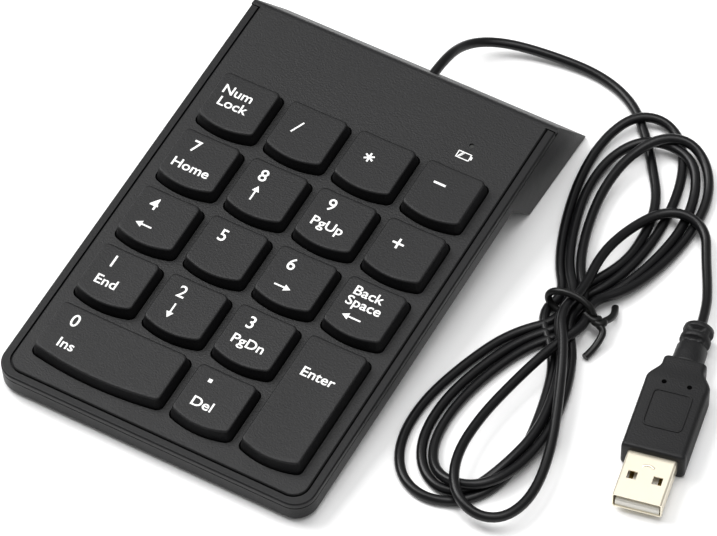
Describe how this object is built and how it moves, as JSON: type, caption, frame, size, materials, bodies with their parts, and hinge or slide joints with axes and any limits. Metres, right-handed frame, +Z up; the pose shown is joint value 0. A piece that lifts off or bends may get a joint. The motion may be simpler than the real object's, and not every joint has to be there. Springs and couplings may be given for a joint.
{
  "type": "numeric keypad",
  "caption": "Flat wired numeric keypad on a leaning rear foot, with sprung keys, a tied hank of cable and a rectangular plug.",
  "frame": {"origin": "on the floor, under the centre of the keypad's footprint, cable left out", "axes": "+X to the user's right, +Y away from the user, +Z up"},
  "size_m": [0.1561, 0.1579, 0.0201],
  "materials": {
    "panel_plastic": "fine matt texture, near black",
    "case_plastic": "fine matt texture, near black",
    "key_plastic": "matt, near black, white legends on top",
    "foot_rubber": "matt black rubber",
    "screw_steel": "zinc plated",
    "plate_aluminium": "plain sheet",
    "membrane_film": "clear polyester film",
    "dome_rubber": "translucent silicone",
    "wire_steel": "drawn steel wire",
    "board_laminate": "green solder mask",
    "chip_epoxy": "black epoxy",
    "light_plastic": "smoked clear plastic",
    "header_plastic": "off-white nylon",
    "cord_jacket": "black flexible jacket, soft sheen",
    "tie_plastic": "black plastic over wire",
    "plug_overmould": "matt black overmould",
    "plug_metal": "nickel plated sheet",
    "plug_insulator": "white moulded insulator",
    "contact_gold": "gold flashed"
  },
  "bodies": {
    "case": {"deck_panel": "panel_plastic", "upper_case": "case_plastic", "bottom_shell": "case_plastic", "front_foot_left": "foot_rubber", "front_foot_right": "foot_rubber", "rear_foot_left": "foot_rubber", "rear_foot_right": "foot_rubber", "case_screw_1": "screw_steel", "case_screw_2": "screw_steel", "case_screw_3": "screw_steel", "case_screw_4": "screw_steel", "clamp_screw_left": "screw_steel", "clamp_screw_right": "screw_steel", "membrane_clamp": "screw_steel", "support_plate": "plate_aluminium", "membrane_lower": "membrane_film", "membrane_spacer": "membrane_film", "membrane_upper": "membrane_film", "dome_sheet": "dome_rubber", "circuit_board": "board_laminate", "controller_chip": "chip_epoxy", "status_led": "light_plastic", "light_pipe": "light_plastic", "cable_header": "header_plastic", "inner_leads": "cord_jacket", "cable_grommet": "foot_rubber", "cable_lead": "cord_jacket", "cable_tail": "cord_jacket", "cable_hank": "cord_jacket", "cable_tie": "tie_plastic", "plug_relief": "plug_overmould", "plug_body": "plug_overmould", "plug_shell": "plug_metal", "plug_tongue": "plug_insulator", "plug_contact_1": "contact_gold", "plug_contact_2": "contact_gold", "plug_contact_3": "contact_gold", "plug_contact_4": "contact_gold"},
    "key_num_lock": {"key_num_lock": "key_plastic"},
    "key_divide": {"key_divide": "key_plastic"},
    "key_multiply": {"key_multiply": "key_plastic"},
    "key_minus": {"key_minus": "key_plastic"},
    "key_7": {"key_7": "key_plastic"},
    "key_8": {"key_8": "key_plastic"},
    "key_9": {"key_9": "key_plastic"},
    "key_plus": {"key_plus": "key_plastic"},
    "key_4": {"key_4": "key_plastic"},
    "key_5": {"key_5": "key_plastic"},
    "key_6": {"key_6": "key_plastic"},
    "key_backspace": {"key_backspace": "key_plastic"},
    "key_1": {"key_1": "key_plastic"},
    "key_2": {"key_2": "key_plastic"},
    "key_3": {"key_3": "key_plastic"},
    "key_enter": {"key_enter": "key_plastic"},
    "key_0": {"key_0": "key_plastic"},
    "key_decimal": {"key_decimal": "key_plastic"},
    "stabiliser_zero": {"stabiliser_zero": "wire_steel"},
    "stabiliser_enter": {"stabiliser_enter": "wire_steel"}
  },
  "joints": [
    {"name": "key_num_lock_press", "type": "slide", "parent": "case", "child": "key_num_lock", "axis": [0, 0.0958, -0.9954], "range_m": [0, 0.002], "stiffness_N_per_m": 250, "springref_m": -0.0006, "deforming": ["dome_sheet"]},
    {"name": "key_divide_press", "type": "slide", "parent": "case", "child": "key_divide", "axis": [0, 0.0958, -0.9954], "range_m": [0, 0.002], "stiffness_N_per_m": 250, "springref_m": -0.0006, "deforming": ["dome_sheet"]},
    {"name": "key_multiply_press", "type": "slide", "parent": "case", "child": "key_multiply", "axis": [0, 0.0958, -0.9954], "range_m": [0, 0.002], "stiffness_N_per_m": 250, "springref_m": -0.0006, "deforming": ["dome_sheet"]},
    {"name": "key_minus_press", "type": "slide", "parent": "case", "child": "key_minus", "axis": [0, 0.0958, -0.9954], "range_m": [0, 0.002], "stiffness_N_per_m": 250, "springref_m": -0.0006, "deforming": ["dome_sheet"]},
    {"name": "key_7_press", "type": "slide", "parent": "case", "child": "key_7", "axis": [0, 0.0958, -0.9954], "range_m": [0, 0.002], "stiffness_N_per_m": 250, "springref_m": -0.0006, "deforming": ["dome_sheet"]},
    {"name": "key_8_press", "type": "slide", "parent": "case", "child": "key_8", "axis": [0, 0.0958, -0.9954], "range_m": [0, 0.002], "stiffness_N_per_m": 250, "springref_m": -0.0006, "deforming": ["dome_sheet"]},
    {"name": "key_9_press", "type": "slide", "parent": "case", "child": "key_9", "axis": [0, 0.0958, -0.9954], "range_m": [0, 0.002], "stiffness_N_per_m": 250, "springref_m": -0.0006, "deforming": ["dome_sheet"]},
    {"name": "key_plus_press", "type": "slide", "parent": "case", "child": "key_plus", "axis": [0, 0.0958, -0.9954], "range_m": [0, 0.002], "stiffness_N_per_m": 250, "springref_m": -0.0006, "deforming": ["dome_sheet"]},
    {"name": "key_4_press", "type": "slide", "parent": "case", "child": "key_4", "axis": [0, 0.0958, -0.9954], "range_m": [0, 0.002], "stiffness_N_per_m": 250, "springref_m": -0.0006, "deforming": ["dome_sheet"]},
    {"name": "key_5_press", "type": "slide", "parent": "case", "child": "key_5", "axis": [0, 0.0958, -0.9954], "range_m": [0, 0.002], "stiffness_N_per_m": 250, "springref_m": -0.0006, "deforming": ["dome_sheet"]},
    {"name": "key_6_press", "type": "slide", "parent": "case", "child": "key_6", "axis": [0, 0.0958, -0.9954], "range_m": [0, 0.002], "stiffness_N_per_m": 250, "springref_m": -0.0006, "deforming": ["dome_sheet"]},
    {"name": "key_backspace_press", "type": "slide", "parent": "case", "child": "key_backspace", "axis": [0, 0.0958, -0.9954], "range_m": [0, 0.002], "stiffness_N_per_m": 250, "springref_m": -0.0006, "deforming": ["dome_sheet"]},
    {"name": "key_1_press", "type": "slide", "parent": "case", "child": "key_1", "axis": [0, 0.0958, -0.9954], "range_m": [0, 0.002], "stiffness_N_per_m": 250, "springref_m": -0.0006, "deforming": ["dome_sheet"]},
    {"name": "key_2_press", "type": "slide", "parent": "case", "child": "key_2", "axis": [0, 0.0958, -0.9954], "range_m": [0, 0.002], "stiffness_N_per_m": 250, "springref_m": -0.0006, "deforming": ["dome_sheet"]},
    {"name": "key_3_press", "type": "slide", "parent": "case", "child": "key_3", "axis": [0, 0.0958, -0.9954], "range_m": [0, 0.002], "stiffness_N_per_m": 250, "springref_m": -0.0006, "deforming": ["dome_sheet"]},
    {"name": "key_enter_press", "type": "slide", "parent": "case", "child": "key_enter", "axis": [0, 0.0958, -0.9954], "range_m": [0, 0.002], "stiffness_N_per_m": 250, "springref_m": -0.0006, "deforming": ["dome_sheet"]},
    {"name": "key_0_press", "type": "slide", "parent": "case", "child": "key_0", "axis": [0, 0.0958, -0.9954], "range_m": [0, 0.002], "stiffness_N_per_m": 250, "springref_m": -0.0006, "deforming": ["dome_sheet"]},
    {"name": "key_decimal_press", "type": "slide", "parent": "case", "child": "key_decimal", "axis": [0, 0.0958, -0.9954], "range_m": [0, 0.002], "stiffness_N_per_m": 250, "springref_m": -0.0006, "deforming": ["dome_sheet"]},
    {"name": "stabiliser_zero_turn", "type": "hinge", "parent": "case", "child": "stabiliser_zero", "pos_m": [-0.019, -0.0476, 0.00723], "axis": [1, 0, 0], "range_deg": [0, 19.6]},
    {"name": "stabiliser_enter_turn", "type": "hinge", "parent": "case", "child": "stabiliser_enter", "pos_m": [0.0233, -0.0433, 0.00764], "axis": [0, 0.9954, 0.0958], "range_deg": [0, 19.6]}
  ],
  "couplings": [
    {"joint": "stabiliser_zero_turn", "follows": "key_0_press", "rad_per_m": 169.92},
    {"joint": "stabiliser_enter_turn", "follows": "key_enter_press", "rad_per_m": 169.92}
  ]
}
